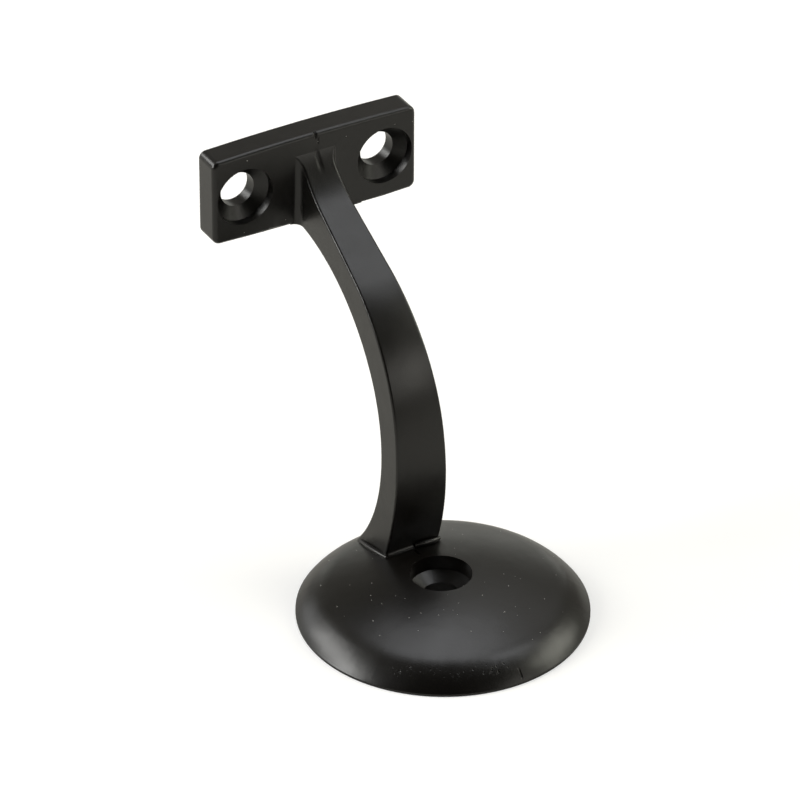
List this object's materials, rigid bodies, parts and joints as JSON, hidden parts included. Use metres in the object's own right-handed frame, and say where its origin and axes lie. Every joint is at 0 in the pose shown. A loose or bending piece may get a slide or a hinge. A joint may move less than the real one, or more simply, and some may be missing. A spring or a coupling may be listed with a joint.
{
  "type": "handrail bracket",
  "caption": "Black handrail bracket cast in one piece: round domed wall rosette, curved tapering arm and a flat rail plate, with countersunk screw holes.",
  "frame": {"origin": "axis of the wall screw hole at the rosette's wall face", "axes": "+Z points away from the wall, +Y is up in use towards the rail, X runs along the rail"},
  "size_m": [0.06, 0.0884, 0.0856],
  "materials": {
    "black_powder_coat": "satin"
  },
  "bodies": {
    "root": {"bracket": "black_powder_coat"}
  },
  "joints": []
}
